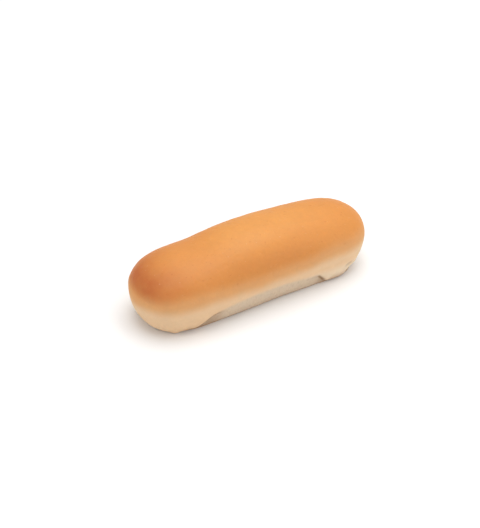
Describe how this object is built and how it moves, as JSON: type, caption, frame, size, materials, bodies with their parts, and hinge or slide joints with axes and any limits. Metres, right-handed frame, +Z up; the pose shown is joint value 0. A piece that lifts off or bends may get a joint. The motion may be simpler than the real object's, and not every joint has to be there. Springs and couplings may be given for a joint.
{
  "type": "hot dog bun",
  "caption": "Soft baked hot dog bun, unsliced: a long round-ended roll with a golden top crust, pale sides and a flat underside.",
  "frame": {"origin": "centre of the bounding box's bottom, on the flat underside", "axes": "+X along the roll, towards its slightly narrower end; +Z up; -Y is the side with the longer, sharper pan mark"},
  "size_m": [0.15, 0.0506, 0.0432],
  "materials": {
    "crust": "thin, smooth, matte to satin golden-brown crust that fades to pale cream low on the sides; light tan, matte underside"
  },
  "bodies": {
    "root": {"bun": "crust"}
  },
  "joints": []
}
